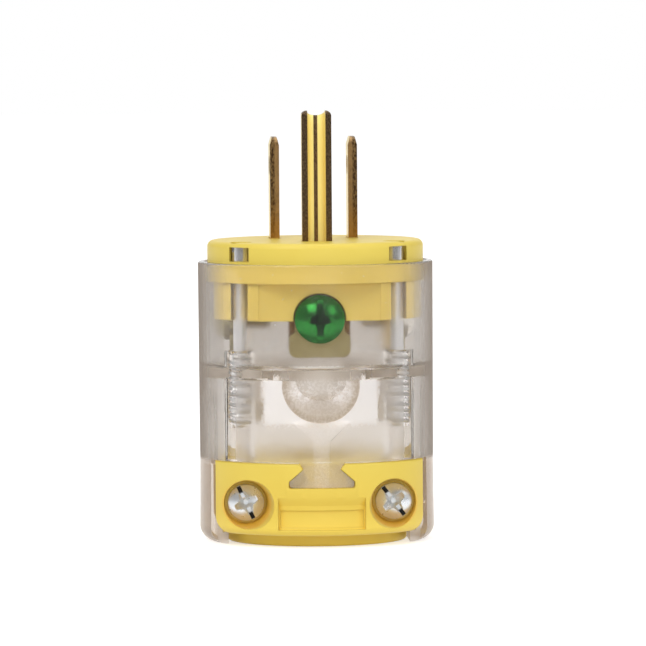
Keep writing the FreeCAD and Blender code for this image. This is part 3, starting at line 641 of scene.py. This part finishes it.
def lay_coats(housing):
    white, sparkle, shade = front_light_and_shade(housing)
    # Inside the rear wall the grey is haze and painted shade; in the bowl it is painted shade.
    rear = housing.y.ramp(*REAR_GREY_FADE) * (REAR_HAZE_AND_SHADE + UPPER_HAZE_AND_SHADE * housing.upper)
    greyed = rear.most(TAB_GREY * housing.tab).most(shade.most(PLATE_GREY * housing.plate))
    # Painted shade: a darker grey where the wall is seen edge on.
    rim = RIM_SHADE * edge_on(housing) * (1 - housing.inside) * (1 - LEG_RIM_CUT * housing.legs)
    # The pale coat is painted light on the front, and a faint haze on the legs and the tab, whose glow is
    # painted light.
    pale = housing.inside * (white + sparkle)
    pale = pale.most(LEG_PALE * housing.legs + TAB_PALE * housing.tab * (0.3 + housing.speckle))
    housing.coat(housing.inside * greyed, housing.diffuse(HAZE_AND_SHADE_GREY))
    housing.coat(rim, housing.diffuse(RIM_SHADE_GREY))
    housing.coat(LEG_WARMTH * housing.legs * housing.beside, housing.diffuse(LEG_TINT))
    housing.coat(pale, glowing_white(housing))


print("rear haze and painted shade from", REAR_HAZE_AND_SHADE, "to", round(REAR_HAZE_AND_SHADE + UPPER_HAZE_AND_SHADE, 2))

# %% [markdown]
# Now the housing is put together. A lamp's light would stop at a refracting wall, and caustics that
# carry it through are slow and noisy. So the wall is see-through to shadow rays, and the pieces inside
# are lit. A little volume absorption warms the thick parts, as it does in real plastic.

# %% Clear polycarbonate
SHADOW_TINT = srgb(254, 253, 252)
DEPTH_TINT, DEPTH_DENSITY = (0.38, 0.27, 0.12, 1), 26.0


def clear_polycarbonate():
    housing = HousingFinish()
    frost_walls(housing)
    lay_coats(housing)
    housing.lit_through(SHADOW_TINT)
    inputs = {"Color": DEPTH_TINT, "Density": DEPTH_DENSITY}
    depth = housing.start.node("ShaderNodeVolumeAbsorption", None, inputs)
    housing.start.tree.links.new(depth.socket, housing.output.inputs["Volume"])
    return housing.material


print("clear polycarbonate ready")

# %% [markdown]
# Each recipe is now used once for each finish on the plug. A material for every piece would be easy to
# change one by one, but pieces that are made of the same stuff should share it, so nine materials dress
# twenty pieces.

# %% Make the finishes
# Painted shade for the drives of the clamp screws and of the ground screw.
SLOT_SHADE, GROUND_DRIVE_SHADE = srgb(26, 25, 24), srgb(14, 62, 20)
YELLOW = yellow_nylon()
BLADE_BRASS = stamped_brass("blade_brass", blade_edges, nowhere, srgb(84, 60, 36), srgb(160, 130, 86), 0.6)
PIN_BRASS = stamped_brass("pin_brass", pin_edges, pin_channel, srgb(84, 66, 46), srgb(124, 102, 72), 0.12)
ZINC = plated("bright_zinc", srgb(238, 243, 248), srgb(218, 224, 231), 0.22, slot_ends, SLOT_SHADE, 0.32)
NICKEL = plated("nickel_plate", srgb(220, 216, 208), srgb(198, 194, 188), 0.18)
GREEN = plated("green_dyed_plate", srgb(60, 160, 70), srgb(26, 104, 38), 0.16, ground_recess, GROUND_DRIVE_SHADE)
BRASS_PLATE = plated("brass_plate", srgb(168, 156, 110), srgb(146, 132, 90), 0.3)
DULL_ZINC = plated("dull_zinc", srgb(242, 242, 244), srgb(222, 223, 227), 0.28, dull=0.28)
CLEAR = clear_polycarbonate()
made = (YELLOW, BLADE_BRASS, PIN_BRASS, ZINC, NICKEL, GREEN, BRASS_PLATE, DULL_ZINC, CLEAR)
print("finishes made:", ", ".join(material.name for material in made))

# %% [markdown]
# The solids come in as loose triangles, which would shade flat. Each shown piece is a copy whose corners
# are merged, so that curved faces shade smoothly while edges sharper than the given angle stay crisp. Each
# copy rides the plug's one body, takes its finish from the table below and stands for its solid.

# %% Dress a solid
SMOOTH_ANGLE = math.radians(28)
MERGE_DISTANCE = 0.002 * MM
FINISHES = {
    "housing_shell": CLEAR, "face_cover": YELLOW, "blade_carrier": YELLOW,
    "front_clamp_jaw": YELLOW, "rear_clamp_jaw": YELLOW,
    "line_blade": BLADE_BRASS, "neutral_blade": BLADE_BRASS, "ground_pin": PIN_BRASS,
    "line_clamp_plate": BRASS_PLATE, "neutral_clamp_plate": BRASS_PLATE, "ground_clamp_plate": BRASS_PLATE,
    "line_terminal_screw": BRASS_PLATE, "neutral_terminal_screw": NICKEL, "ground_terminal_screw": GREEN,
    "assembly_screw_left": DULL_ZINC, "assembly_screw_right": DULL_ZINC,
    "clamp_screw_left": ZINC, "clamp_screw_right": ZINC,
    "clamp_nut_left": ZINC, "clamp_nut_right": ZINC,
}


def merged_copy(node):
    """A copy of a solid's mesh with its corners joined, without the stored normals, which no longer fit."""
    mesh = NODES[node].data.copy()
    stored = mesh.attributes.get("custom_normal")
    if stored:
        mesh.attributes.remove(stored)
    shape = bmesh.new()
    shape.from_mesh(mesh)
    bmesh.ops.remove_doubles(shape, verts=shape.verts, dist=MERGE_DISTANCE)
    shape.to_mesh(mesh)
    shape.free()
    return mesh


def show(name, mesh, node, material):
    """Puts a finished mesh in the scene in place of the solid that it stands for."""
    mesh.materials.clear()
    mesh.materials.append(material)
    mesh.polygons.foreach_set("material_index", [0] * len(mesh.polygons))
    mesh.polygons.foreach_set("use_smooth", [True] * len(mesh.polygons))
    mesh.set_sharp_from_angle(angle=SMOOTH_ANGLE)
    piece = bpy.data.objects.new(name, mesh)
    bpy.context.scene.collection.objects.link(piece)
    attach(piece, "root")
    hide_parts(node)
    return piece


pieces = {}
for node, material in FINISHES.items():
    if "screw" not in node:
        pieces[node] = show(node + "_dressed", merged_copy(node), node, material)
print("pieces dressed:", len(pieces))

# %% [markdown]
# A screw thread is one ridge that climbs round the shank. A bump map could hint at it, but the long
# screws show theirs from the side, through the clear bosses, so it has to be a shape. As it follows a
# path, Geometry Nodes make it: they draw the path as a spiral and sweep a four-sided profile along it.

# %% The thread as a node tree
THREAD_STEPS = 20
RIDGE_SIDES = 4
THREAD_DEFAULTS = {"Radius": 1.0 * MM, "Length": 5.0 * MM, "Turns": 6.0, "Ridge": 0.2 * MM}


def thread_tree():
    tree = bpy.data.node_groups.new("screw_thread", "GeometryNodeTree")
    for name, default in THREAD_DEFAULTS.items():
        socket = tree.interface.new_socket(name, in_out="INPUT", socket_type="NodeSocketFloat")
        socket.default_value = default
    tree.interface.new_socket("Finish", in_out="INPUT", socket_type="NodeSocketMaterial")
    tree.interface.new_socket("Geometry", in_out="OUTPUT", socket_type="NodeSocketGeometry")
    start = Wire(tree)
    given = start.node("NodeGroupInput").made.outputs
    size = {name: Wire(tree, given[name]) for name in (*THREAD_DEFAULTS, "Finish")}
    path = start.node("GeometryNodeCurveSpiral", None, {
        "Resolution": THREAD_STEPS, "Rotations": size["Turns"], "Start Radius": size["Radius"],
        "End Radius": size["Radius"], "Height": size["Length"]})
    profile = start.node("GeometryNodeCurvePrimitiveCircle", None, {
        "Resolution": RIDGE_SIDES, "Radius": size["Ridge"]})
    ridge = start.node("GeometryNodeCurveToMesh", None, {
        "Curve": path, "Profile Curve": profile, "Fill Caps": True})
    whole = start.node("GeometryNodeRealizeInstances", None, {"Geometry": ridge})
    dressed = start.node("GeometryNodeSetMaterial", None, {"Geometry": whole, "Material": size["Finish"]})
    start.node("NodeGroupOutput", None, {"Geometry": dressed})
    return tree


THREAD = thread_tree()
print("thread tree has", len(THREAD.nodes), "nodes")

# %% [markdown]
# Each screw is its solid with a thread added. A table could hold every tip and radius, but they are
# read from the solid, so that the thread always fits: the tip is the end of its box, and the radius is
# the widest point of the half nearest the tip. Only the way that the tip points, the pitch and the
# threaded length are given.

# %% Threaded screws
TIP_WAYS = {"assembly": (0, 0, -1), "clamp": (0, 1, 0), "ground": (0, 1, 0), "neutral": (-1, 0, 0),
            "line": (1, 0, 0)}
TERMINAL_PITCH, TERMINAL_THREADED = 0.8 * MM, 4.5 * MM
PITCHES = {"assembly": 0.85 * MM, "clamp": 0.75 * MM}
THREADED = {"assembly": 10.5 * MM, "clamp": 8.0 * MM}
POINT_LENGTH = 0.7 * MM
RIDGE = 0.34 * MM


def thread_mesh(radius, length, pitch, material):
    """One thread as a plain mesh that climbs the Z axis from the origin."""
    blank = bpy.data.objects.new("thread_blank", bpy.data.meshes.new("thread_blank"))
    bpy.context.scene.collection.objects.link(blank)
    modifier = blank.modifiers.new("thread", "NODES")
    modifier.node_group = THREAD
    values = {"Radius": radius, "Length": length, "Turns": length / pitch, "Ridge": RIDGE,
              "Finish": material}
    for socket in THREAD.interface.items_tree:
        if socket.in_out == "INPUT":
            modifier[socket.identifier] = values[socket.name]
    graph = bpy.context.evaluated_depsgraph_get()
    mesh = bpy.data.meshes.new_from_object(blank.evaluated_get(graph))
    bpy.data.objects.remove(blank)
    return mesh


def threaded_screw(node, material):
    kind = node.split("_")[0]
    way = Vector(TIP_WAYS[kind])
    low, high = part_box(node)
    middle = (low + high) / 2
    length = abs((high - low).dot(way))
    tip = middle + way * length / 2
    mesh = merged_copy(node)
    near_tip = [v.co - tip for v in mesh.vertices if (v.co - middle).dot(way) > 0]
    radius = max((spot - way * spot.dot(way)).length for spot in near_tip)
    threaded = THREADED.get(kind, TERMINAL_THREADED)
    thread = thread_mesh(radius, threaded, PITCHES.get(kind, TERMINAL_PITCH), material)
    up = (-way).to_track_quat("Z", "Y").to_matrix().to_4x4()
    thread.transform(Matrix.Translation(tip - way * POINT_LENGTH) @ up)
    shape = bmesh.new()
    shape.from_mesh(mesh)
    shape.from_mesh(thread)
    shape.to_mesh(mesh)
    shape.free()
    bpy.data.meshes.remove(thread)
    return show(node + "_threaded", mesh, node, material)


for node, material in FINISHES.items():
    if "screw" in node:
        pieces[node] = threaded_screw(node, material)
print("threaded screws:", sum("screw" in node for node in pieces))

# %% [markdown]
# Product photographs are taken on a white sweep. A strong lamp on a white wall would give that, but it
# would also bleach the plug. So the floor is white to the camera, to mirrors and through clear plastic,
# and lights the plug more softly. Photographers also hang a dark cloth where shiny things would mirror
# too much white, and here the floor in front turns dark to mirrored rays.

# %% Floor
FLOOR_HALF = 3.0
FLOOR_WHITE, FLOOR_GLOW = (0.86, 0.86, 0.86, 1), 0.5
CLOTH_BLACK, CLOTH_SHARE, CLOTH_FROM = (0.02, 0.02, 0.02, 1), 0.8, 0.12
WHITE = (1, 1, 1, 1)


def seen_ray(start):
    """1 on rays that show the surround: the camera's own, mirrored ones and those through clear plastic."""
    camera, mirror, through = (start.node("ShaderNodeLightPath", out=name)
                               for name in ("Is Camera Ray", "Is Glossy Ray", "Is Transmission Ray"))
    return camera.most(mirror).most(through)


def floor_material():
    material = bpy.data.materials.new("white_floor")
    material.use_nodes = True
    tree = material.node_tree
    tree.nodes.clear()
    start = Wire(tree)
    lit = start.node("ShaderNodeBsdfDiffuse", None, {"Color": FLOOR_WHITE})
    seen = seen_ray(start)
    glow = start.node("ShaderNodeEmission", None, {"Color": WHITE, "Strength": FLOOR_GLOW * seen})
    both = start.node("ShaderNodeAddShader", None, {0: lit, 1: glow})
    place = start.node("ShaderNodeTexCoord", out="Object")
    forward = 0.0 - start.node("ShaderNodeSeparateXYZ", None, {"Vector": place}, out="Y")
    mirror = start.node("ShaderNodeLightPath", out="Is Glossy Ray")
    cloth = start.node("ShaderNodeBsdfDiffuse", None, {"Color": CLOTH_BLACK})
    dark = CLOTH_SHARE * mirror * forward.ramp(CLOTH_FROM, 2 * CLOTH_FROM)
    both = start.node("ShaderNodeMixShader", None, {0: dark, 1: both, 2: cloth})
    start.node("ShaderNodeOutputMaterial", None, {"Surface": both})
    return material


def white_floor():
    mesh = bpy.data.meshes.new("floor")
    corners = [(x * FLOOR_HALF, y * FLOOR_HALF, 0) for x, y in ((-1, -1), (1, -1), (1, 1), (-1, 1))]
    mesh.from_pydata(corners, [], [(0, 1, 2, 3)])
    mesh.materials.append(floor_material())
    floor = bpy.data.objects.new("floor", mesh)
    bpy.context.scene.collection.objects.link(floor)


white_floor()
print("floor", 2 * FLOOR_HALF, "m wide")

# %% [markdown]
# Round the floor is a white world, which also looks whiter than it lights. A picture of a real studio
# could be used instead, but an even white needs none. To mirrored rays and through clear plastic it is
# greyer at the sides, as if grey cards stood there, and to mirrored rays it is dark in front.

# %% White surround
CARD_LIGHT = 0.62
SIDE_SHADE, FRONT_SHADE = 0.7, 0.9
SIDE_TURN, FRONT_TURN = (0.2, 0.55), (0.3, 0.75)


def white_surround():
    world = bpy.data.worlds.new("white_surround")
    bpy.context.scene.world = world
    world.use_nodes = True
    tree = world.node_tree
    tree.nodes.clear()
    start = Wire(tree)
    way = start.node("ShaderNodeTexCoord", out="Generated")
    aside = start.node("ShaderNodeSeparateXYZ", None, {"Vector": way}, out="X")
    forward = 0.0 - start.node("ShaderNodeSeparateXYZ", None, {"Vector": way}, out="Y")
    camera = start.node("ShaderNodeLightPath", out="Is Camera Ray")
    mirror = start.node("ShaderNodeLightPath", out="Is Glossy Ray")
    card = SIDE_SHADE * aside.absolute().ramp(*SIDE_TURN)
    shade = card.most(FRONT_SHADE * mirror * forward.ramp(*FRONT_TURN))
    strength = CARD_LIGHT + seen_ray(start) * (1.0 - CARD_LIGHT - shade * (1 - camera))
    glow = start.node("ShaderNodeBackground", None, {"Color": WHITE, "Strength": strength})
    start.node("ShaderNodeOutputWorld", None, {"Surface": glow})


white_surround()
print("surround lights the plug at", CARD_LIGHT)

# %% [markdown]
# Five soft boxes light the plug: a key from the left, a weaker fill from the right, a low one that
# reaches into the clamp's bores, one from above and one behind for the back. One big lamp would do for
# a matt object, but here each shiny dome shows the lamps as highlights. Two of them are hidden from
# mirrors, because their highlights would spoil the clear wall.

# %% Soft boxes
BOX_SIZE = 0.5
AIM = Vector((0, 0, 35 * MM))
SOFTBOXES = {
    "key_softbox": ((-0.5, -0.7, 0.85), 3.6, True),
    "fill_softbox": ((0.75, -0.6, 0.55), 1.6, True),
    "low_softbox": ((0.1, -0.95, 0.1), 1.6, False),
    "top_softbox": ((0.0, 0.25, 0.95), 1.0, True),
    "back_softbox": ((0.35, 0.95, 0.3), 1.2, False),
}


def softbox(name, place, watts, mirrored):
    lamp = bpy.data.lights.new(name, "AREA")
    lamp.shape = "SQUARE"
    lamp.size = BOX_SIZE
    lamp.energy = watts
    box = bpy.data.objects.new(name, lamp)
    box.location = place
    box.rotation_euler = (AIM - Vector(place)).to_track_quat("-Z", "Y").to_euler()
    box.visible_glossy = mirrored
    bpy.context.scene.collection.objects.link(box)


for name, (place, watts, mirrored) in SOFTBOXES.items():
    softbox(name, place, watts, mirrored)
print("soft boxes:", len(SOFTBOXES))

# %% [markdown]
# The camera is a long lens, far away and a little above the plug, as product photographs are taken. A
# short lens would bulge the housing. The camera's place was worked out from the photograph: how far
# each ring's near edge dips below its ends gives the height of the eye, and how that changes from top
# to bottom gives the distance.

# %% Camera
EYE_DISTANCE = 1.0
EYE_AZIMUTH = math.radians(-2.7)
EYE_HEIGHT = math.radians(3.27)
EYE_ROLL = math.radians(-0.43)
SENSOR_WIDTH = 36.0
NEAREST = 0.01
FRAME_WIDTH = 104.87 * MM
AIM_RIGHT = 1.2 * MM
AIM_UP = 35.06 * MM


def set_camera():
    lens = bpy.data.cameras.new("camera")
    lens.sensor_width = SENSOR_WIDTH
    lens.lens = SENSOR_WIDTH * EYE_DISTANCE / FRAME_WIDTH
    lens.clip_start = NEAREST
    eye = bpy.data.objects.new("camera", lens)
    bpy.context.scene.collection.objects.link(eye)
    right = Vector((math.cos(EYE_AZIMUTH), math.sin(EYE_AZIMUTH), 0))
    level = Vector((math.sin(EYE_AZIMUTH), -math.cos(EYE_AZIMUTH), 0))
    away = level * math.cos(EYE_HEIGHT) + Vector((0, 0, math.sin(EYE_HEIGHT)))
    target = right * AIM_RIGHT + Vector((0, 0, AIM_UP))
    turn = (-away).to_track_quat("-Z", "Y").to_matrix() @ Matrix.Rotation(EYE_ROLL, 3, "Z")
    eye.matrix_world = Matrix.Translation(target + away * EYE_DISTANCE) @ turn.to_4x4()
    bpy.context.scene.camera = eye


set_camera()
bpy.context.scene.view_settings.view_transform = "Standard"
print("camera", EYE_DISTANCE, "m away, frame", round(FRAME_WIDTH / MM, 1), "mm wide")

# %% [markdown]
# The finished plug has to be as large as the solids that it was made from.


print("scene dressed")
